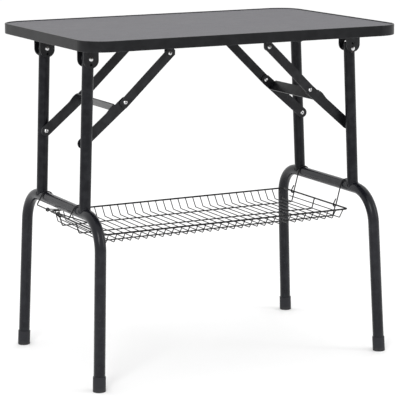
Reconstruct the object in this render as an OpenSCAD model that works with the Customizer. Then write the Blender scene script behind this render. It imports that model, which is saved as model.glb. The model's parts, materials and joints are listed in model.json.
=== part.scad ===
// Folding pet grooming table: a board with a non-slip mat and a raised edge
// band, on two hinged tube frames. Two-link braces with an over-centre knee
// hold each frame open, and a wire basket hangs between the two crossbars.
// Origin: centre of the footprint on the floor. +X along the table's
// length, +Y to the back, +Z up. Left is -X and front is -Y. Millimetres.

/* [Tabletop] */
// Length of the tabletop along X
top_l = 790; // [780:1:860]
// Width of the tabletop along Y
top_w = 540; // [520:1:600]
// Height of the top of the edge band above the floor
top_h = 780; // [780:0.1:781]
// Corner radius of the tabletop
top_r = 60; // [40:1:80]
// Height of the edge band
band_h = 24; // [24:0.1:25]
// Wall thickness of the edge band
band_t = 2.5; // [2:0.1:3.5]
// Width of the band's lip over the board
lip_w = 4; // [3.6:0.1:8]
// How far the lip stands above the mat
lip_h = 2; // [1:0.1:2.5]
// Thickness of the non-slip mat
mat_t = 2.5; // [1.5:0.1:3]

/* [Leg frames] */
// Outer radius of the frame tubes
tube_r = 13; // [12.5:0.1:13]
// Wall of the frame tubes
tube_wall = 1.5; // [1.2:0.1:2.5]
// Half distance between the two upper legs of a frame
leg_y = 126.5; // [126.5:0.1:127]
// Height of the crossbars above the floor
bar_z = 381.5; // [379:0.5:383]
// Half width of a lower frame at the crossbar, where the tube axes would meet
low_y = 215; // [212:0.5:220]
// Outward splay of the lower legs in degrees
splay = 1.8; // [1:0.1:3]
// Bend radius of the lower frame's axis
bend_r = 75; // [60:1:78]
// Outer radius of the foot caps
cap_r = 14.5; // [14:0.1:16]
// Height of the foot caps
cap_h = 34; // [28:1:40]

/* [Hinges and braces] */
// Width of a hinge bracket along X
brk_w = 36; // [34:1:38]
// Thickness of the bracket sheet
brk_t = 2.5; // [2:0.1:2.5]
// Radius of the rivet shanks
riv_r = 3.2; // [2.8:0.1:3.2]
// Width of the brace links
link_w = 24; // [22:0.5:24]
// width of the flat upper brace links
up_w = 22; // [20:0.5:22]
// Thickness of the brace links
link_t = 2.6; // [2:0.1:2.6]
// Radius of the domed hinge rivet heads
dome_r = 5.2; // [4.5:0.1:6]

/* [Basket] */
// Half length of the basket rim along X
rim_x = 317; // [317:0.1:317.2]
// Half width of the basket rim along Y
rim_y = 156; // [140:1:160]
// Height of the rim wire above the floor
rim_z = 336; // [335.8:0.1:336.2]
// Number of cross wires
n_cross = 31; // [15:2:37]
// Radius of the rim wire
rim_r = 2; // [1.8:0.1:2]
// Radius of the cross wires
cross_r = 1.2; // [1:0.1:1.2]
// Radius of the lengthwise wires and of the hangers
wire_r = 1.5; // [1.3:0.1:1.5]

/* [Hidden] */
$fn = 64;

black = [0.13, 0.135, 0.14];
charcoal = [0.16, 0.165, 0.17];
silver = [0.78, 0.79, 0.8];
grey = [0.5, 0.5, 0.52];
timber = [0.55, 0.43, 0.3];
rubber = [0.09, 0.09, 0.1];

under = top_h - band_h + 1.2;     // underside of the board, on the band's lower lip
board_top = top_h - lip_h - mat_t;
low_lip = 12;                     // inward reach of the band's lower lip
edge_r = 1.2;                     // rounding of the band's outer edges

// Leg hinges as [outward x, z]. The two sides sit in different holes of the
// same bracket, so that one frame folds nearly flat over the other.
lean = 2.35;                      // outward lean of both frames
hinge_l = [334.5, 728.5];
hinge_r = [335, 716];
hole_z = [728.5, 716];
bar_dl = (hinge_l[1] - bar_z) / cos(lean);
bar_dr = (hinge_r[1] - bar_z) / cos(lean);
foot_dl = hinge_l[1] / cos(lean);
foot_dr = hinge_r[1] / cos(lean);
cross_l = hinge_l[0] + bar_dl * sin(lean);   // outward x of the left crossbar
cross_rt = hinge_r[0] + bar_dr * sin(lean);  // outward x of the right crossbar

// Braces: pivot under the board, pivot down the leg, and the knee between
upper_len = 153.2;
lower_len = 135.4;
brace_l = [125.415, 727.5];
brace_r = [130, 727.5];
leg_dl = 191.293;
leg_dr = 183.69;
legp_l = [hinge_l[0] + leg_dl * sin(lean), hinge_l[1] - leg_dl * cos(lean)];
legp_r = [hinge_r[0] + leg_dr * sin(lean), hinge_r[1] - leg_dr * cos(lean)];
// the knee lies just past the straight line, on the side away from the hinge
function knee(b, c) = let(v = c - b, d = norm(v), u = v / d,
    a = (upper_len * upper_len - lower_len * lower_len + d * d) / (2 * d),
    h = sqrt(max(0, upper_len * upper_len - a * a)))
    b + u * a - [-u[1], u[0]] * h;
knee_l = knee(brace_l, legp_l);
knee_r = knee(brace_r, legp_r);

// planes of the brace pieces, as distances from the table's centre plane
web_y0 = 100;
web_y1 = web_y0 + brk_t;
low_y0 = 105;
low_y1 = low_y0 + link_t;
up_y0 = 108;
up_y1 = up_y0 + link_t;
tube_in = leg_y - tube_r;         // inner side of the upper legs
gap = 0.05;
fit = 0.08;                       // radial running clearance on a rivet

// ---- helpers -------------------------------------------------------------
// rounded rectangle made of squares and circles
module rr(l, w, r) {
  union() {
    square([l - 2 * r, w], center = true);
    square([l, w - 2 * r], center = true);
    for (sx = [-1, 1], sy = [-1, 1]) translate([sx * (l / 2 - r), sy * (w / 2 - r)]) circle(r = r, $fn = 96);
  }
}
// Bent wire or tube. It starts at the origin along +X in the XY plane. A step
// is ["L", length], ["A", bend radius, angle to the left] or ["R", roll]. A
// collar a hair wider than the wire joins each step to the next.
module bent(s, r, i = 0, first = true) {
  g = 0.1;
  if (i < len(s)) {
    last = i == len(s) - 1;
    g0 = first ? 0 : g;
    g1 = last ? 0 : g;
    if (s[i][0] == "L") {
      translate([g0, 0, 0]) rotate([0, 90, 0]) cylinder(r = r, h = s[i][1] - g0 - g1);
      if (!last) translate([s[i][1], 0, 0]) { collar(r); bent(s, r, i + 1, false); }
    } else if (s[i][0] == "A") {
      br = s[i][1];
      a = abs(s[i][2]);
      sg = s[i][2] > 0 ? 1 : -1;
      d0 = g0 / br * 180 / PI;
      d1 = g1 / br * 180 / PI;
      translate([0, sg * br, 0]) {
        if (sg > 0) rotate([0, 0, -90 + d0]) rotate_extrude(angle = a - d0 - d1, $fn = 96) translate([br, 0]) circle(r = r);
        else rotate([0, 0, 90 - a + d1]) rotate_extrude(angle = a - d0 - d1, $fn = 96) translate([br, 0]) circle(r = r);
        if (!last) rotate([0, 0, s[i][2]]) translate([0, -sg * br, 0]) { collar(r); bent(s, r, i + 1, false); }
      }
    } else rotate([s[i][1], 0, 0]) bent(s, r, i + 1, first);
  }
}
module collar(r) rotate([0, 90, 0]) cylinder(r = r + 0.02, h = 0.6, center = true);
// The same path as a hollow tube, or as a solid wire when ri is 0. A sleeve or
// a dowel inside the wall joins each step to the next across a hairline.
module piped(s, r, ri, i = 0, first = true) {
  g = 0.01;
  if (i < len(s)) {
    last = i == len(s) - 1;
    g0 = first ? 0 : g;
    g1 = last ? 0 : g;
    if (s[i][0] == "L") {
      translate([g0, 0, 0]) rotate([0, 90, 0]) linear_extrude(s[i][1] - g0 - g1) annulus(r, ri);
      if (!last) translate([s[i][1], 0, 0]) { joiner(r, ri); piped(s, r, ri, i + 1, false); }
    } else {
      br = s[i][1];
      a = abs(s[i][2]);
      sg = s[i][2] > 0 ? 1 : -1;
      d0 = g0 / br * 180 / PI;
      d1 = g1 / br * 180 / PI;
      translate([0, sg * br, 0]) {
        rotate([0, 0, sg > 0 ? -90 + d0 : 90 - a + d1]) rotate_extrude(angle = a - d0 - d1, $fn = 96) translate([br, 0]) annulus(r, ri);
        if (!last) rotate([0, 0, s[i][2]]) translate([0, -sg * br, 0]) { joiner(r, ri); piped(s, r, ri, i + 1, false); }
      }
    }
  }
}
module annulus(r, ri) difference() { circle(r = r); if (ri > 0) circle(r = ri); }
module joiner(r, ri) rotate([0, 90, 0]) {
  if (ri > 0) translate([0, 0, -1]) linear_extrude(2) annulus(ri + 0.7, ri - 0.25);
  else cylinder(r = 0.75 * r, h = 0.8, center = true);
}
// straight rod between two points
module rod(a, b, r) {
  v = b - a;
  d = norm(v);
  translate(a) rotate([0, acos(v[2] / d), atan2(v[1], v[0])]) cylinder(r = r, h = d, $fn = 32);
}
// cylinder along Y at [x, z], from |y| = y0 to y1 on the side s
module pin(p, s, y0, y1, r) translate([p[0], s > 0 ? y0 : -y1, p[1]]) rotate([-90, 0, 0]) cylinder(r = r, h = y1 - y0);
// domed head at [x, z]: base at y, crown towards dir
module dome(p, y, dir, r, h) translate([p[0], y, p[1]]) rotate([-90 * dir, 0, 0])
  rotate_extrude() intersection() {
    translate([0, h - (r * r + h * h) / (2 * h)]) circle(r = (r * r + h * h) / (2 * h), $fn = 128);
    square([r, h]);
  }
// the hollow of a tubular rivet, as wide as its bore
module eyelet(p, y, dir) translate([p[0], y, p[1]]) rotate([-90 * dir, 0, 0]) translate([0, 0, -0.6]) cylinder(r = 1.7, h = 5);
// pan screw, head below z, shank up
module screw(x, y, z) translate([x, y, z]) union() {
  translate([0, 0, -0.5]) cylinder(r = 2, h = 13.5);
  mirror([0, 0, 1]) rotate_extrude() intersection() {
    translate([0, -3.2]) circle(r = 5.4, $fn = 96);
    square([4, 3]);
  }
}
// side: everything is laid out for +X and mirrored for the left
module side(s) { if (s < 0) mirror([1, 0, 0]) children(); else children(); }
// leg frame's own axes: origin at the hinge, -Z down the legs
module on_leg(h) translate([h[0], 0, h[1]]) rotate([0, -lean, 0]) children();

// ---- tabletop ------------------------------------------------------------
hb_screw_x = [28, 42];            // inward from the hinge
hb_screw_y = [-11, 11];
bb_screw_x = [-7, 7];
bb_screw_y = 88;
module tabletop_board() {
  color(timber) difference() {
    translate([0, 0, under]) linear_extrude(board_top - under) rr(top_l - 2 * band_t - 0.1, top_w - 2 * band_t - 0.1, top_r - band_t);
    for (sd = [-1, 1], s = [-1, 1]) {
      h = sd < 0 ? hinge_l : hinge_r;
      b = sd < 0 ? brace_l : brace_r;
      for (dx = hb_screw_x, dy = hb_screw_y) translate([sd * (h[0] - dx), s * leg_y + dy, under - 1]) cylinder(r = 2.05, h = 12);
      for (dx = bb_screw_x) translate([sd * (b[0] + dx), s * bb_screw_y, under - 1]) cylinder(r = 2.05, h = 12);
    }
  }
}
module top_mat() {
  color(grey) translate([0, 0, board_top]) linear_extrude(mat_t) rr(top_l - 2 * lip_w - 0.1, top_w - 2 * lip_w - 0.1, top_r - lip_w);
}
// section of the band, x outwards from the corner's centre
module band_section() {
  zb = top_h - band_h;
  difference() {
    union() {
      translate([top_r - low_lip, zb]) square([low_lip - edge_r, band_h]);
      translate([top_r - 2 * edge_r, zb + edge_r]) square([2 * edge_r, band_h - 2 * edge_r]);
      for (z = [zb + edge_r, top_h - edge_r]) translate([top_r - edge_r, z]) circle(r = edge_r, $fn = 48);
    }
    translate([top_r - low_lip - 1, under]) square([low_lip + 1 - band_t, board_top - under]);
    translate([top_r - low_lip - 1, board_top - 1]) square([low_lip + 1 - lip_w, top_h - board_top + 3]);
  }
}
module edge_band() {
  color(rubber) union() {
    for (c = [[1, 1, 0], [-1, 1, 90], [-1, -1, 180], [1, -1, 270]])
      translate([c[0] * (top_l / 2 - top_r), c[1] * (top_w / 2 - top_r), 0]) rotate([0, 0, c[2]])
        rotate_extrude(angle = 90, $fn = 96) band_section();
    for (s = [0, 180]) rotate([0, 0, s]) {
      translate([top_l / 2 - top_r, top_w / 2 - top_r, 0]) rotate([90, 0, 0]) linear_extrude(top_w - 2 * top_r) band_section();
      translate([top_l / 2 - top_r, top_w / 2 - top_r, 0]) rotate([90, 0, -90]) mirror([1, 0, 0]) linear_extrude(top_l - 2 * top_r) band_section();
    }
  }
}

// ---- leg hinges ----------------------------------------------------------
brk_in = 16;                      // inside half width between the flanges
brk_low = 708;                    // lowest point of the flanges
brk_in_x = 50;                    // inward reach of the base plate
module hinge_bracket(sd, sy) {
  h = sd < 0 ? hinge_l : hinge_r;
  w = brk_in + brk_t;
  color(charcoal) side(sd) translate([h[0], sy * leg_y, 0]) difference() {
    union() {
      translate([-brk_in_x, -w, under - brk_t]) cube([brk_in_x + brk_w / 2, 2 * w, brk_t]);
      for (t = [-1, 1]) translate([0, t > 0 ? w : -brk_in, 0]) rotate([90, 0, 0]) linear_extrude(brk_t) union() {
        translate([-brk_w / 2, brk_low + brk_w / 2]) square([brk_w, under - brk_low - brk_w / 2]);
        translate([0, brk_low + brk_w / 2]) circle(r = brk_w / 2);
      }
    }
    for (z = hole_z) translate([0, 30, z]) rotate([90, 0, 0]) cylinder(r = riv_r + 0.02, h = 60);
    for (dx = hb_screw_x, dy = hb_screw_y) translate([-dx, dy, under - 5]) cylinder(r = 2.05, h = 10);
  }
}
module hinge_bracket_left_front() hinge_bracket(-1, -1);
module hinge_bracket_left_back() hinge_bracket(-1, 1);
module hinge_bracket_right_front() hinge_bracket(1, -1);
module hinge_bracket_right_back() hinge_bracket(1, 1);
module hinge_bracket_screws() color(silver) for (sd = [-1, 1], s = [-1, 1], dx = hb_screw_x, dy = hb_screw_y)
  screw(sd * ((sd < 0 ? hinge_l[0] : hinge_r[0]) - dx), s * leg_y + dy, under - brk_t - gap);
module hinge_rivets() color(silver) for (sd = [-1, 1], s = [-1, 1]) union() {
  p = sd < 0 ? [-hinge_l[0], hinge_l[1]] : hinge_r;
  w = brk_in + brk_t + gap;
  translate([p[0], s * leg_y - w - 0.5, p[1]]) rotate([-90, 0, 0]) cylinder(r = riv_r, h = 2 * w + 1);
  for (t = [-1, 1]) dome(p, s * leg_y + t * w, t, dome_r, 3);
}
module hinge_washers() color(grey) for (sd = [-1, 1], s = [-1, 1], t = [-1, 1]) {
  p = sd < 0 ? [-hinge_l[0], hinge_l[1]] : hinge_r;
  translate([p[0], s * leg_y + t * 14.65, p[1]]) rotate([90, 0, 0]) difference() {
    cylinder(r = 9, h = 2.6, center = true);
    cylinder(r = riv_r + 0.05, h = 6, center = true);
  }
}

// ---- brace brackets under the board --------------------------------------
module brace_bracket(sd, sy) {
  b = sd < 0 ? brace_l : brace_r;
  color(charcoal) side(sd) difference() {
    union() {
      translate([b[0] - 13, sy > 0 ? 78 : -web_y1, under - brk_t]) cube([26, web_y1 - 78, brk_t]);
      translate([b[0], sy > 0 ? web_y1 : -web_y0, 0]) rotate([90, 0, 0]) linear_extrude(brk_t) union() {
        translate([-10, b[1]]) square([20, under - b[1]]);
        translate([0, b[1]]) circle(r = 10);
      }
    }
    pin(b, sy, web_y0 - 5, web_y1 + 5, riv_r + 0.02);
    for (dx = bb_screw_x) translate([b[0] + dx, sy * bb_screw_y, under - 5]) cylinder(r = 2.05, h = 10);
  }
}
module brace_bracket_left_front() brace_bracket(-1, -1);
module brace_bracket_left_back() brace_bracket(-1, 1);
module brace_bracket_right_front() brace_bracket(1, -1);
module brace_bracket_right_back() brace_bracket(1, 1);
module brace_bracket_screws() color(silver) for (sd = [-1, 1], s = [-1, 1], dx = bb_screw_x)
  screw(sd * ((sd < 0 ? brace_l[0] : brace_r[0]) + dx), s * bb_screw_y, under - brk_t - gap);
// shouldered rivet: head inside the bracket's web, head outside the link
module brace_top_rivets() color(silver) for (sd = [-1, 1], s = [-1, 1]) {
  p = sd < 0 ? [-brace_l[0], brace_l[1]] : brace_r;
  difference() {
    union() {
      pin(p, s, web_y0 - gap - 0.5, up_y1 + gap + 0.5, riv_r);
      pin(p, s, web_y1 + gap, up_y0 - gap, 4.2);
      dome(p, s * (up_y1 + gap), s, 4.75, 2);
      dome(p, s * (web_y0 - gap), -s, 4.75, 1.8);
    }
    eyelet(p, s * (up_y1 + gap), s);
  }
}

// ---- leg frames ----------------------------------------------------------
module upper_leg(sd, sy) {
  h = sd < 0 ? hinge_l : hinge_r;
  q = sd < 0 ? bar_dl : bar_dr;
  d = sd < 0 ? leg_dl : leg_dr;
  color(black) side(sd) on_leg(h) difference() {
    translate([0, sy * leg_y, 1.5 - q]) cylinder(r = tube_r, h = q - 1.5 + 14);
    translate([0, sy * leg_y, -q - 5]) cylinder(r = tube_r - tube_wall, h = q + 30);
    translate([0, sy * leg_y + 40, -q]) rotate([90, 0, 0]) cylinder(r = tube_r + 0.02, h = 80);
    translate([0, sy * leg_y + 40, 0]) rotate([90, 0, 0]) cylinder(r = riv_r + fit, h = 80);
    pin([0, -d], sy, tube_in - 5, tube_in + 6, riv_r + 0.02);
  }
}
module upper_leg_left_front() upper_leg(-1, -1);
module upper_leg_left_back() upper_leg(-1, 1);
module upper_leg_right_front() upper_leg(1, -1);
module upper_leg_right_back() upper_leg(1, 1);

// inverted U of one tube: leg, bend, crossbar, bend, leg
turn = 90 - splay;
tan_l = bend_r * tan(turn / 2);
module u_tube(q, f) {
  run = (f - q - 5) / cos(splay);                    // from the virtual corner to the tube's end
  y0 = low_y + run * sin(splay);
  z0 = -q - run * cos(splay);
  translate([0, -y0, z0]) rotate([90, 0, 90]) rotate([0, 0, 90 - splay]) union()
    piped([["L", run - tan_l], ["A", bend_r, -turn], ["L", 2 * (low_y - tan_l)], ["A", bend_r, -turn], ["L", run - tan_l]], tube_r, tube_r - tube_wall);
}
module lower_frame(sd) {
  h = sd < 0 ? hinge_l : hinge_r;
  q = sd < 0 ? bar_dl : bar_dr;
  f = sd < 0 ? foot_dl : foot_dr;
  color(black) side(sd) on_leg(h) u_tube(q, f);
}
module lower_frame_left() lower_frame(-1);
module lower_frame_right() lower_frame(1);

// foot cap: a cup on the tube's end, cut level at the floor
module foot_cap(sd, sy) {
  h = sd < 0 ? hinge_l : hinge_r;
  q = sd < 0 ? bar_dl : bar_dr;
  f = sd < 0 ? foot_dl : foot_dr;
  y = low_y + (f - q) * tan(splay);
  color(rubber) difference() {
    side(sd) on_leg(h) translate([0, sy * y, -f]) rotate([sy * splay, 0, 0]) difference() {
      rotate_extrude() union() {
        translate([0, -1.5]) square([cap_r - 2.5, cap_h + 1.5]);
        translate([0, 1]) square([cap_r, cap_h - 2]);
        translate([cap_r - 2.5, 1]) circle(r = 2.5, $fn = 48);
        translate([cap_r - 1, cap_h - 1]) circle(r = 1, $fn = 48);
      }
      translate([0, 0, 4.4]) cylinder(r = tube_r + 0.05, h = cap_h);
    }
    translate([sd * 364 - 50, sy * 227 - 50, -30]) cube([100, 100, 30]);
  }
}
module foot_cap_left_front() foot_cap(-1, -1);
module foot_cap_left_back() foot_cap(-1, 1);
module foot_cap_right_front() foot_cap(1, -1);
module foot_cap_right_back() foot_cap(1, 1);

// blind rivets through the lower links into the inner wall of the upper legs
module leg_rivets(sd) color(silver) side(sd) for (s = [-1, 1]) {
  p = sd < 0 ? legp_l : legp_r;
  difference() {
    union() {
      pin(p, s, low_y0 - gap - 0.5, tube_in + 2, riv_r);
      dome(p, s * (low_y0 - gap), -s, 4.75, 2);
    }
    eyelet(p, s * (low_y0 - gap), -s);
  }
}
module leg_rivets_left() leg_rivets(-1);
module leg_rivets_right() leg_rivets(1);
module leg_spacers(sd) color(silver) side(sd) for (s = [-1, 1]) difference() {
  p = sd < 0 ? legp_l : legp_r;
  pin(p, s, low_y1 + gap, tube_in - gap, 4.2);
  pin(p, s, low_y1 - 1, tube_in + 1, riv_r + 0.02);
}
module leg_spacers_left() leg_spacers(-1);
module leg_spacers_right() leg_spacers(1);

// ---- braces --------------------------------------------------------------
// flat link in the plane y0..y0 + t of side sy, drawn along +X from a to b
module link(a, b, sy, y0, t) {
  translate([a[0], sy > 0 ? y0 + t : -y0, a[1]]) rotate([90, 0, 0]) rotate([0, 0, atan2(b[1] - a[1], b[0] - a[0])])
    linear_extrude(t) children();
}
module upper_shape() difference() {
  union() {
    translate([0, -up_w / 2]) square([upper_len + 6, up_w]);
    polygon([[upper_len + 5.9, -up_w / 2], [upper_len + 9, -up_w / 2], [upper_len + 13, -up_w / 2 + 5],
      [upper_len + 13, up_w / 2 - 4], [upper_len + 9.5, up_w / 2], [upper_len + 5.9, up_w / 2]]);
    polygon([[0.01, -up_w / 2], [0.01, up_w / 2], [-6, up_w / 2], [-13, 4], [-13, -4], [-6, -up_w / 2]]);
  }
  circle(r = riv_r + fit);
  translate([upper_len, 0]) circle(r = riv_r + 0.02);
}
strap_x = lower_len - 24.5;       // where the strap crosses, from the leg pivot
tab_h = 3;                        // how far the tab stands past the link's edge
module lower_shape() difference() {
  union() {
    translate([0, -link_w / 2]) square([lower_len, link_w]);
    circle(r = link_w / 2);
    translate([lower_len, 0]) circle(r = link_w / 2);
    translate([lower_len - 34, -link_w / 2 - tab_h]) square([12, tab_h + 1]);
    polygon([[lower_len - 50, -link_w / 2 + 0.01], [lower_len - 34 + 0.01, -link_w / 2 + 0.01], [lower_len - 34 + 0.01, -link_w / 2 - tab_h]]);
  }
  polygon([[lower_len - 26, -link_w / 2 - tab_h - 0.1], [lower_len - 18, -link_w / 2 - tab_h - 0.1], [lower_len - 18, -link_w / 2], [lower_len - 20, -link_w / 2 + 0.5]]);
  circle(r = riv_r + fit);
  translate([lower_len, 0]) circle(r = riv_r + 0.02);
}
module upper_link(sd, sy) color(black) side(sd)
  link(sd < 0 ? brace_l : brace_r, sd < 0 ? knee_l : knee_r, sy, up_y0, link_t) upper_shape();
module lower_link(sd, sy) color(black) side(sd)
  link(sd < 0 ? legp_l : legp_r, sd < 0 ? knee_l : knee_r, sy, low_y0, link_t) lower_shape();
module upper_link_left_front() upper_link(-1, -1);
module upper_link_left_back() upper_link(-1, 1);
module upper_link_right_front() upper_link(1, -1);
module upper_link_right_back() upper_link(1, 1);
module lower_link_left_front() lower_link(-1, -1);
module lower_link_left_back() lower_link(-1, 1);
module lower_link_right_front() lower_link(1, -1);
module lower_link_right_back() lower_link(1, 1);
// the knee rivet in two halves: the outer one sits in the upper link
module knee_rivets_outer(sd) color(silver) side(sd) for (s = [-1, 1]) {
  p = sd < 0 ? knee_l : knee_r;
  difference() {
    union() {
      pin(p, s, up_y0, up_y1 + gap + 0.5, riv_r);
      dome(p, s * (up_y1 + gap), s, 4.75, 2);
    }
    eyelet(p, s * (up_y1 + gap), s);
  }
}
module knee_rivets_inner(sd) color(silver) side(sd) for (s = [-1, 1]) union() {
  p = sd < 0 ? knee_l : knee_r;
  pin(p, s, low_y0 - gap - 0.5, low_y1, riv_r);
  dome(p, s * (low_y0 - gap), -s, 4.75, 2);
}
module knee_rivets_outer_left() knee_rivets_outer(-1);
module knee_rivets_outer_right() knee_rivets_outer(1);
module knee_rivets_inner_left() knee_rivets_inner(-1);
module knee_rivets_inner_right() knee_rivets_inner(1);
// strap across the two lower links of one end, square to the links
module brace_strap(sd) color(black) side(sd) {
  c = sd < 0 ? legp_l : legp_r;
  k = sd < 0 ? knee_l : knee_r;
  translate([c[0], low_y0 - gap, c[1]]) rotate([90, 0, 0]) rotate([0, 0, atan2(k[1] - c[1], k[0] - c[0])])
    linear_extrude(2 * (low_y0 - gap)) translate([strap_x, -link_w / 2 - tab_h]) square([2.5, link_w + tab_h]);
}
module brace_strap_left() brace_strap(-1);
module brace_strap_right() brace_strap(1);

// ---- basket --------------------------------------------------------------
cor = 8;                          // corner radius of the rim
cz = rim_z - 22.4;                // height of the cross wires
lz = rim_z - 25.2;                // height of the lengthwise wires
x_end = rim_x - 12.5;             // last cross wire
long_y = [-100, 0, 100];
module basket_rim() color(black) union() {
  for (s = [-1, 1]) {
    translate([0, s * rim_y, rim_z]) rotate([0, 90, 0]) cylinder(r = rim_r, h = 2 * (rim_x - cor), center = true);
    translate([s * rim_x, 0, rim_z]) rotate([90, 0, 0]) cylinder(r = rim_r, h = 2 * (rim_y - cor), center = true);
  }
  for (c = [[1, 1, 0], [-1, 1, 90], [-1, -1, 180], [1, -1, 270]])
    translate([c[0] * (rim_x - cor), c[1] * (rim_y - cor), rim_z]) rotate([0, 0, c[2]])
      rotate_extrude(angle = 90) translate([cor, 0]) circle(r = rim_r);
}
// Sides that rise 4 for every 3 outwards: the bend turns through atan(4/3)
// and its tangents are half its radius long.
cb = 4;
ca = atan(4 / 3);
c_top = rim_r + gap;              // distance of a wire's end from the rim's axis
c_side = (rim_z - cz - cb * 0.4 - 0.8 * c_top) / 0.8;
c_half = rim_y - 0.6 * (c_top + c_side) - 0.8 * cb;   // half the straight length
module basket_cross_wires() color(black) for (i = [0 : n_cross - 1])
  translate([-x_end + i * 2 * x_end / (n_cross - 1), -(rim_y - 0.6 * c_top), rim_z - 0.8 * c_top]) rotate([90, 0, 90]) rotate([0, 0, -ca])
    bent([["L", c_side], ["A", cb, ca], ["L", 2 * c_half], ["A", cb, ca], ["L", c_side]], cross_r);
// Ends that rise 24 for every 7 outwards: tangents are three quarters of the radius.
lb = 3;
la = atan(24 / 7);
l_side = (rim_z - lz - lb * 0.72 - 0.96 * c_top) / 0.96;
l_half = rim_x - 0.28 * (c_top + l_side) - 0.96 * lb;
module basket_long_wires() color(black) for (y = long_y)
  translate([-(rim_x - 0.28 * c_top), y, rim_z - 0.96 * c_top]) rotate([90, 0, 0]) rotate([0, 0, -la])
    union() piped([["L", l_side], ["A", lb, la], ["L", 2 * l_half], ["A", lb, la], ["L", l_side]], wire_r, 0);
rail_d = wire_r + cross_r + gap;
rail_x = rim_x - 12.8 * 0.28 / 0.96 - 0.96 * rail_d;
rail_z = rim_z - 12.8 + 0.28 * rail_d;
module basket_end_rails() color(black) for (s = [-1, 1])
  translate([s * rail_x, 112, rail_z]) rotate([90, 0, 0]) cylinder(r = cross_r, h = 224);

// ---- hangers -------------------------------------------------------------
arch = 14.9;                      // axis radius over a crossbar
eye = 3.9;                        // axis radius round the rim
// right hooks: the shank is the inner tangent of the arch and of the eye
hk_dx = cross_rt - rim_x;
hk_dz = bar_z - rim_z;
hk_d = norm([hk_dx, hk_dz]);
hk_n = atan2(hk_dz, hk_dx) - acos((arch + eye) / hk_d);   // direction square to the shank
hk_len = sqrt(hk_d * hk_d - (arch + eye) * (arch + eye));
hk_tip = 15;
module right_hook(y) color(black)
  translate([cross_rt + arch * cos(hk_tip), y, bar_z + arch * sin(hk_tip)]) rotate([90, 0, 0]) rotate([0, 0, hk_tip + 90])
    union() piped([["A", arch, 180 + hk_n - hk_tip], ["L", hk_len], ["A", eye, -194], ["L", 14]], wire_r, 0);
module right_hook_front() right_hook(-96);
module right_hook_back() right_hook(108);
// left bail: one wire over the crossbar at both ends, with a bar between
bail_y = 95;
bail_a = 15;
bail_t = 135;
bail_c = 5;
bail_l = 25.3;
module left_bail() color(black)
  translate([-cross_l + arch * cos(bail_a), -bail_y, bar_z + arch * sin(bail_a)]) rotate([90, 0, 0]) rotate([0, 0, bail_a + 90])
    bent([["A", arch, bail_t], ["L", bail_l - bail_c], ["R", -90], ["A", bail_c, 90], ["L", 2 * (bail_y - bail_c)],
      ["A", bail_c, 90], ["R", 90], ["L", bail_l - bail_c], ["A", arch, bail_t]], wire_r);
bar_x = -cross_l + arch * cos(bail_a + bail_t) + bail_l * cos(bail_a + bail_t + 90);
bar_h = bar_z + arch * sin(bail_a + bail_t) + bail_l * sin(bail_a + bail_t + 90);
ring = 3.4;                       // axis radius round the bail's bar
module basket_clips() color(black) for (s = [-1, 1]) union() {
  translate([-rim_x, s * 95, rim_z]) rotate([90, 0, 0]) rotate_extrude() translate([eye, 0]) circle(r = wire_r);
  translate([bar_x, s * 30, bar_h]) rotate([90, 0, 0]) rotate_extrude() translate([ring, 0]) circle(r = wire_r);
  a = [-rim_x - 1, s * 95, rim_z + eye - 0.2];
  b = [-rim_x - 5, s * 92, rim_z + 16];
  c = [bar_x + ring - 0.1, s * 30, bar_h + 0.7];
  rod(a, b, wire_r - 0.1);
  rod(b, c, wire_r - 0.1);
  translate(b) sphere(r = wire_r + 0.15);
}

tabletop_board();
top_mat();
edge_band();
hinge_bracket_left_front();
hinge_bracket_left_back();
hinge_bracket_right_front();
hinge_bracket_right_back();
hinge_bracket_screws();
hinge_rivets();
hinge_washers();
brace_bracket_left_front();
brace_bracket_left_back();
brace_bracket_right_front();
brace_bracket_right_back();
brace_bracket_screws();
brace_top_rivets();
upper_leg_left_front();
upper_leg_left_back();
upper_leg_right_front();
upper_leg_right_back();
lower_frame_left();
lower_frame_right();
foot_cap_left_front();
foot_cap_left_back();
foot_cap_right_front();
foot_cap_right_back();
leg_rivets_left();
leg_rivets_right();
leg_spacers_left();
leg_spacers_right();
upper_link_left_front();
upper_link_left_back();
upper_link_right_front();
upper_link_right_back();
knee_rivets_outer_left();
knee_rivets_outer_right();
lower_link_left_front();
lower_link_left_back();
lower_link_right_front();
lower_link_right_back();
brace_strap_left();
brace_strap_right();
knee_rivets_inner_left();
knee_rivets_inner_right();
basket_rim();
basket_long_wires();
basket_cross_wires();
basket_end_rails();
basket_clips();
left_bail();
right_hook_front();
right_hook_back();
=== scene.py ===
import json
import math
import bmesh
import bpy
from mathutils import Matrix, Vector


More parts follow.
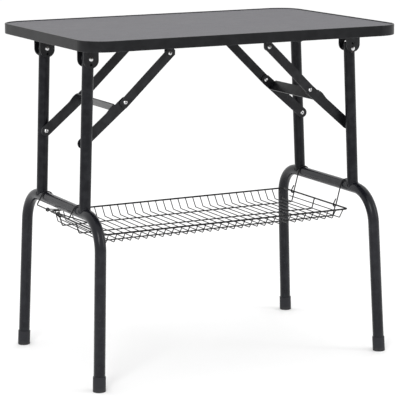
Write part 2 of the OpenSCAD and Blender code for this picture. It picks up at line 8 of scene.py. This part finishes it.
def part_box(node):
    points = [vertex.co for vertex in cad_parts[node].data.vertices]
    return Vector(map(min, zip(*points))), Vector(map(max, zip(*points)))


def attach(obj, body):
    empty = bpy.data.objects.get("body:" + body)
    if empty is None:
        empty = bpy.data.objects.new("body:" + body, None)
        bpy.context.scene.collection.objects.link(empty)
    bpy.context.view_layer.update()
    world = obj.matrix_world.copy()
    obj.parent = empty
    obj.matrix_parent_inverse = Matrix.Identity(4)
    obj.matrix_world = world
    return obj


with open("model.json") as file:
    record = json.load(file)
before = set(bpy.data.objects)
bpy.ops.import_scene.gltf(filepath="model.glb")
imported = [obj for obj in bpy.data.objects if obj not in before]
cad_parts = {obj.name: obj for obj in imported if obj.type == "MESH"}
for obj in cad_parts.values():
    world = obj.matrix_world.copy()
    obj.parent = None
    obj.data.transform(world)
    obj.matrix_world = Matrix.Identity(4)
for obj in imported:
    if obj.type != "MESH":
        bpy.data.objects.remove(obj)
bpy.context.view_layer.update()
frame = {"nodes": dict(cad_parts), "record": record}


# ---- camera ---------------------------------------------------------------
def make_camera():
    az, el, roll = math.radians(-26.75), math.radians(10.878), math.radians(-0.352)
    back = Vector((math.sin(az) * math.cos(el), -math.cos(az) * math.cos(el), math.sin(el)))
    target = Vector((0.002774, 0.0, 0.359817))
    right = (-back).cross(Vector((0, 0, 1))).normalized()
    up = right.cross(-back)
    r2 = right * math.cos(roll) + up * math.sin(roll)
    u2 = -right * math.sin(roll) + up * math.cos(roll)
    cam = bpy.data.objects.new("camera", bpy.data.cameras.new("camera"))
    bpy.context.scene.collection.objects.link(cam)
    m = Matrix((r2, u2, back)).transposed().to_4x4()
    m.translation = target + back * 4.3941
    cam.matrix_world = m
    cam.data.sensor_width = 36.0
    cam.data.lens = 166.56
    cam.data.clip_end = 50
    bpy.context.scene.camera = cam


make_camera()


# ---- materials ------------------------------------------------------------
class Mat:
    """A node material with a few shortcuts."""

    def __init__(self, name):
        self.m = bpy.data.materials.new(name)
        self.m.use_nodes = True
        self.t = self.m.node_tree
        self.t.nodes.clear()
        self.out = self.t.nodes.new("ShaderNodeOutputMaterial")
        self.b = self.t.nodes.new("ShaderNodeBsdfPrincipled")
        self.t.links.new(self.b.outputs[0], self.out.inputs[0])
        self.tc = self.t.nodes.new("ShaderNodeTexCoord").outputs["Object"]

    def noise(self, scale, detail=4.0, rough=0.55, stretch=(1, 1, 1)):
        v = self.tc
        if stretch != (1, 1, 1):
            mp = self.t.nodes.new("ShaderNodeMapping")
            mp.inputs["Scale"].default_value = stretch
            self.t.links.new(self.tc, mp.inputs["Vector"])
            v = mp.outputs[0]
        n = self.t.nodes.new("ShaderNodeTexNoise")
        n.inputs["Scale"].default_value = scale
        n.inputs["Detail"].default_value = detail
        n.inputs["Roughness"].default_value = rough
        self.t.links.new(v, n.inputs["Vector"])
        return n.outputs["Fac"]

    def voronoi(self, scale, feature="F1"):
        n = self.t.nodes.new("ShaderNodeTexVoronoi")
        n.feature = feature
        n.inputs["Scale"].default_value = scale
        self.t.links.new(self.tc, n.inputs["Vector"])
        return n.outputs["Distance"]

    def ramp(self, fac, stops):
        r = self.t.nodes.new("ShaderNodeValToRGB")
        e = r.color_ramp.elements
        while len(e) < len(stops):
            e.new(0.5)
        for i, (p, c) in enumerate(stops):
            e[i].position = p
            e[i].color = (*c, 1) if len(c) == 3 else c
        self.t.links.new(fac, r.inputs["Fac"])
        return r.outputs["Color"]

    def grey(self, fac, a, b, p0=0.3, p1=0.7):
        return self.ramp(fac, [(p0, (a, a, a)), (p1, (b, b, b))])

    def mix(self, fac, a, b, mode="MIX"):
        n = self.t.nodes.new("ShaderNodeMix")
        n.data_type = "RGBA"
        n.blend_type = mode
        if isinstance(fac, (int, float)):
            n.inputs["Factor"].default_value = fac
        else:
            self.t.links.new(fac, n.inputs["Factor"])
        for s, x in (("A", a), ("B", b)):
            i = [k for k in n.inputs if k.name == s and k.type == "RGBA"][0]
            if isinstance(x, tuple):
                i.default_value = (*x, 1)
            else:
                self.t.links.new(x, i)
        return [k for k in n.outputs if k.type == "RGBA"][0]

    def add(self, a, b, wa, wb):
        n1 = self.t.nodes.new("ShaderNodeMath"); n1.operation = "MULTIPLY"; n1.inputs[1].default_value = wa
        n2 = self.t.nodes.new("ShaderNodeMath"); n2.operation = "MULTIPLY_ADD"; n2.inputs[1].default_value = wb
        self.t.links.new(a, n1.inputs[0])
        self.t.links.new(b, n2.inputs[0])
        self.t.links.new(n1.outputs[0], n2.inputs[2])
        return n2.outputs[0]

    def bump(self, h, dist, strength=0.5):
        n = self.t.nodes.new("ShaderNodeBump")
        n.inputs["Strength"].default_value = strength
        n.inputs["Distance"].default_value = dist
        self.t.links.new(h, n.inputs["Height"])
        self.t.links.new(n.outputs[0], self.b.inputs["Normal"])

    def edges(self):
        """1 on convex edges, from the surface's own shape."""
        g = self.t.nodes.new("ShaderNodeNewGeometry")
        return self.ramp(g.outputs["Pointiness"], [(0.505, (0, 0, 0)), (0.56, (1, 1, 1))])

    def col(self, c):
        self.t.links.new(c, self.b.inputs["Base Color"])

    def rough(self, c):
        self.t.links.new(c, self.b.inputs["Roughness"])

    def set(self, **kw):
        for k, v in kw.items():
            self.b.inputs[k.replace("_", " ")].default_value = v


def powder(name, dark, light, edge, r0=0.34, r1=0.52, spec=0.24):
    """Satin powder coat: fine orange peel, faint mottling, slight rub on edges."""
    m = Mat(name)
    big = m.noise(9, 5)
    fine = m.noise(900, 2)
    peel = m.noise(420, 2)
    base = m.ramp(big, [(0.3, dark), (0.72, light)])
    spots = m.ramp(fine, [(0.62, (0, 0, 0)), (0.74, (0.35, 0.35, 0.35))])
    base = m.mix(spots, base, tuple(c * 1.7 for c in light))
    edge_wear_and_highlight = m.mix(1.0, m.edges(), m.grey(m.noise(60, 5), 0.0, 0.55, 0.42, 0.66), "MULTIPLY")
    m.col(m.mix(edge_wear_and_highlight, base, edge))
    m.rough(m.mix(0.5, m.grey(big, r0, r1), m.grey(m.noise(140, 3), r0, r1)))
    m.bump(m.add(peel, fine, 0.7, 0.3), 0.0002, 0.16)
    m.set(Specular_IOR_Level=spec)
    return m.m


tube_steel = powder("tube_powder_coat", (0.0050, 0.0053, 0.0080), (0.0066, 0.0069, 0.0100), (0.018, 0.019, 0.023), 0.20, 0.29)
bracket_steel = powder("bracket_powder_coat", (0.0036, 0.0039, 0.0050), (0.0050, 0.0053, 0.0066), (0.020, 0.021, 0.024), 0.34, 0.44)
# a lighter copy of the powder coat: painted light on the well-lit straps
strap_steel_lit_copy = powder("strap_powder_coat", (0.0085, 0.0090, 0.0105), (0.012, 0.0125, 0.0145), (0.030, 0.031, 0.034), 0.30, 0.42)


def wire_mat():
    m = Mat("coated_wire")
    n = m.noise(70, 4)
    m.col(m.ramp(n, [(0.3, (0.0035, 0.0035, 0.0045)), (0.75, (0.0070, 0.0070, 0.0085))]))
    m.rough(m.grey(m.noise(220, 3), 0.24, 0.42))
    m.bump(m.add(m.noise(260, 2), m.noise(900, 2), 0.7, 0.3), 0.0003, 0.3)
    m.set(Specular_IOR_Level=0.2)
    return m.m


def mat_rubber():
    """Grey rubber sheet with a fine leather-like pebble and scuffs."""
    m = Mat("mat_rubber")
    cells = m.voronoi(330, "SMOOTH_F1")
    fine = m.noise(1100, 3)
    big = m.noise(3.2, 6, 0.6)
    scuff = m.noise(26, 6, 0.7, (1, 6, 1))
    base = m.ramp(big, [(0.3, (0.098, 0.0965, 0.106)), (0.7, (0.113, 0.111, 0.122))])
    # painted shade and highlight: grooves between pebbles darkened, pebble tops lightened, following the bump
    pebble_groove_shade = m.ramp(cells, [(0.0, (1.12, 1.12, 1.12)), (0.6, (0.78, 0.78, 0.78))])
    c = m.mix(0.75, base, pebble_groove_shade, "MULTIPLY")
    c = m.mix(m.ramp(scuff, [(0.62, (0, 0, 0)), (0.8, (0.3, 0.3, 0.3))]), c, (0.165, 0.162, 0.172))
    c = m.mix(m.ramp(fine, [(0.6, (0, 0, 0)), (0.72, (0.4, 0.4, 0.4))]), c, (0.092, 0.091, 0.098))
    m.col(c)
    m.rough(m.mix(0.5, m.grey(big, 0.52, 0.7), m.grey(scuff, 0.5, 0.72)))
    m.bump(m.add(cells, fine, -0.8, 0.2), 0.0007, 0.55)
    m.set(Specular_IOR_Level=0.3)
    return m.m


def band_mat():
    """Black extruded edge band: faint drawn lines round it, satin, a painted highlight along the convex lips."""
    m = Mat("edge_band_rubber")
    n = m.noise(7, 5)
    draw = m.noise(520, 3, 0.5, (0.02, 0.02, 1))
    fine = m.noise(800, 3)
    base = m.ramp(n, [(0.3, (0.0034, 0.0036, 0.0042)), (0.7, (0.0052, 0.0054, 0.0062))])
    # painted highlight: the convex edges of the band are lightened, broken up by noise
    edge_wear_and_highlight = m.mix(1.0, m.edges(), m.grey(m.noise(45, 5), 0.15, 0.8, 0.35, 0.65), "MULTIPLY")
    m.col(m.mix(edge_wear_and_highlight, base, (0.045, 0.046, 0.050)))
    m.rough(m.mix(0.5, m.grey(n, 0.28, 0.42), m.grey(fine, 0.28, 0.5)))
    m.bump(m.add(draw, fine, 0.6, 0.4), 0.0003, 0.3)
    m.set(Specular_IOR_Level=0.14)
    return m.m


def foot_mat():
    m = Mat("foot_rubber")
    n = m.noise(40, 5)
    fine = m.noise(700, 3)
    base = m.ramp(n, [(0.3, (0.014, 0.0145, 0.018)), (0.7, (0.019, 0.0195, 0.024))])
    # dust on the lowest few millimetres
    g = m.t.nodes.new("ShaderNodeSeparateXYZ")
    m.t.links.new(m.tc, g.inputs[0])
    low = m.ramp(g.outputs["Z"], [(0.0, (0.5, 0.5, 0.5)), (0.012, (0, 0, 0))])
    dust = m.mix(1.0, low, m.grey(m.noise(120, 4), 0.2, 1.0), "MULTIPLY")
    m.col(m.mix(dust, base, (0.07, 0.068, 0.064)))
    m.rough(m.grey(n, 0.5, 0.7))
    m.bump(m.add(fine, n, 0.5, 0.5), 0.0004, 0.35)
    m.set(Specular_IOR_Level=0.25)
    return m.m


def metal(name, lo, hi, r0, r1, tint=(1.0, 1.0, 1.01), recess_shade=False):
    m = Mat(name)
    n = m.noise(120, 4)
    scr = m.noise(700, 4, 0.6, (1, 1, 0.15))
    c = m.ramp(n, [(0.3, tuple(lo * t for t in tint)), (0.7, tuple(hi * t for t in tint))])
    if recess_shade:
        # painted shade in the hollow middle of a tubular rivet: ambient occlusion darkens the recess
        ao = m.t.nodes.new("ShaderNodeAmbientOcclusion")
        ao.samples = 8
        ao.inputs["Distance"].default_value = 0.004
        c = m.mix(m.ramp(ao.outputs["AO"], [(0.42, (1, 1, 1)), (0.62, (0, 0, 0))]), c, (0.02, 0.02, 0.022))
    m.col(c)
    m.rough(m.mix(0.5, m.grey(n, r0, r1), m.grey(scr, r0, r1)))
    m.bump(scr, 0.00015, 0.25)
    m.set(Metallic=1.0)
    return m.m


bright = metal("bright_rivet_zinc", 0.52, 0.66, 0.20, 0.34)
eyelet = metal("tubular_rivet_zinc", 0.52, 0.66, 0.20, 0.34, recess_shade=True)
zinc = metal("zinc_plate", 0.42, 0.55, 0.26, 0.42)


def board_mat():
    """Chipboard with a brown backing sheet."""
    m = Mat("chipboard")
    chips = m.voronoi(150)
    n = m.noise(20, 6, 0.6, (1, 3, 1))
    base = m.ramp(n, [(0.3, (0.055, 0.050, 0.046)), (0.7, (0.085, 0.078, 0.070))])
    m.col(m.mix(m.ramp(chips, [(0.1, (0.5, 0.5, 0.5)), (0.5, (0, 0, 0))]), base, (0.11, 0.10, 0.09)))
    m.rough(m.grey(n, 0.6, 0.85))
    m.bump(m.add(chips, n, 0.4, 0.6), 0.0006, 0.4)
    return m.m


def nylon_mat():
    m = Mat("nylon")
    n = m.noise(90, 4)
    m.col(m.ramp(n, [(0.3, (0.03, 0.03, 0.033)), (0.7, (0.055, 0.055, 0.06))]))
    m.rough(m.grey(n, 0.35, 0.5))
    m.bump(m.noise(500, 2), 0.0003, 0.25)
    m.set(Subsurface_Weight=0.05)
    return m.m


# a darker copy of the tube powder coat: painted shade on the upright legs
upper_steel_shaded_copy = powder("upper_leg_powder_coat", (0.0040, 0.0043, 0.0060), (0.0054, 0.0057, 0.0078), (0.018, 0.019, 0.022), 0.26, 0.36, 0.15)
wire = wire_mat()
rubber_mat = mat_rubber()
band = band_mat()
foot = foot_mat()
board = board_mat()
nylon = nylon_mat()


def paint(name, o):
    if name == "tabletop_board":
        m = board
    elif name == "top_mat":
        m = rubber_mat
    elif name == "edge_band":
        m = band
    elif "washers" in name:
        m = nylon
    elif name == "hinge_rivets":
        m = bright
    elif "knee_rivets" in name or "leg_rivets" in name or name == "brace_top_rivets":
        m = eyelet
    elif "screws" in name or "spacers" in name:
        m = zinc
    elif "foot_cap" in name:
        m = foot
    elif name.startswith("basket") or name in ("left_bail", "right_hook_front", "right_hook_back"):
        m = wire
    elif name.startswith("upper_leg"):
        m = upper_steel_shaded_copy
    elif "strap" in name:
        m = strap_steel_lit_copy
    elif "bracket" in name or "link" in name:
        m = bracket_steel
    else:
        m = tube_steel
    if not o.material_slots:
        o.data.materials.append(m)
    for s in o.material_slots:
        s.material = m


for name, o in frame["nodes"].items():
    paint(name, o)


# ---- weld beads where each upper leg is welded onto its crossbar -------------
JOINTS = {j["name"]: j for j in frame["record"]["behaviour"]["joints"]}


def weld(side, end):
    """A rippled fillet along the line where the upright's end meets the crossbar."""
    lo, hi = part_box("upper_leg_%s_%s" % (side, end))
    y0, r = (lo.y + hi.y) / 2, (hi.y - lo.y) / 2
    top = Vector(JOINTS[side + "_fold"]["pos_m"])
    bar = Vector(JOINTS["left_bail_swing" if side == "left" else "right_hook_swing"]["pos_m"])
    d = top - bar
    d.y = 0
    d.normalize()
    e1 = Vector((d.z, 0, -d.x))
    n, k = 96, 10
    path = []
    for i in range(n):
        f = 2 * math.pi * i / n
        rr = r + 0.0004
        h = rr * math.sqrt(math.sin(f) ** 2 + 0.02)  # the crossbar's surface under this point
        path.append(Vector((bar.x, y0, bar.z)) + e1 * (rr * math.cos(f)) + Vector((0, rr * math.sin(f), 0)) + d * h)
    bm = bmesh.new()
    rings = []
    for i, p in enumerate(path):
        t = (path[(i + 1) % n] - path[i - 1]).normalized()
        a = (p - (Vector((bar.x, y0, bar.z)) + d * (p - Vector((bar.x, y0, bar.z))).dot(d))).normalized()
        a = (a - t * a.dot(t)).normalized()
        b = t.cross(a)
        w = 0.0015 * (1 + 0.22 * math.cos(24 * 2 * math.pi * i / n))
        rings.append([bm.verts.new(p + a * (w * math.cos(g)) + b * (w * math.sin(g))) for g in (2 * math.pi * j / k for j in range(k))])
    for i in range(n):
        for j in range(k):
            bm.faces.new((rings[i][j], rings[(i + 1) % n][j], rings[(i + 1) % n][(j + 1) % k], rings[i][(j + 1) % k]))
    bmesh.ops.recalc_face_normals(bm, faces=bm.faces)
    me = bpy.data.meshes.new("weld_bead_%s_%s" % (side, end))
    bm.to_mesh(me)
    bm.free()
    for p in me.polygons:
        p.use_smooth = True
    o = bpy.data.objects.new("weld_bead_%s_%s" % (side, end), me)
    bpy.context.scene.collection.objects.link(o)
    me.materials.append(tube_steel)
    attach(o, side + "_frame")


for side in ("left", "right"):
    for end in ("front", "back"):
        weld(side, end)


# ---- floor, light and world -------------------------------------------------
def floor():
    me = bpy.data.meshes.new("floor")
    me.from_pydata([(-30, -30, 0), (30, -30, 0), (30, 30, 0), (-30, 30, 0)], [], [(0, 1, 2, 3)])
    o = bpy.data.objects.new("floor", me)
    bpy.context.scene.collection.objects.link(o)
    m = bpy.data.materials.new("floor_white")
    m.use_nodes = True
    b = m.node_tree.nodes["Principled BSDF"]
    b.inputs["Base Color"].default_value = (0.93, 0.93, 0.93, 1)
    b.inputs["Roughness"].default_value = 0.9
    b.inputs["Specular IOR Level"].default_value = 0.1
    me.materials.append(m)


floor()


def area(name, pos, aim, size, power):
    d = bpy.data.lights.new(name, "AREA")
    d.shape = "RECTANGLE"
    d.size, d.size_y = size
    d.energy = power
    o = bpy.data.objects.new(name, d)
    o.location = pos
    o.rotation_euler = (Vector(aim) - Vector(pos)).to_track_quat("-Z", "Y").to_euler()
    bpy.context.scene.collection.objects.link(o)


area("key", (-2.4, -2.6, 2.6), (0, 0, 0.5), (1.1, 1.8), 46)
area("fill", (3.0, -2.2, 1.8), (0, 0, 0.4), (0.8, 2.2), 20)
area("top", (0.3, 0.6, 3.4), (0, 0, 0.6), (2.0, 2.0), 14)

w = bpy.data.worlds.new("studio")
w.use_nodes = True
w.node_tree.nodes["Background"].inputs[0].default_value = (1, 1, 1, 1)
w.node_tree.nodes["Background"].inputs[1].default_value = 1.1
bpy.context.scene.world = w
bpy.context.scene.view_settings.view_transform = "Standard"
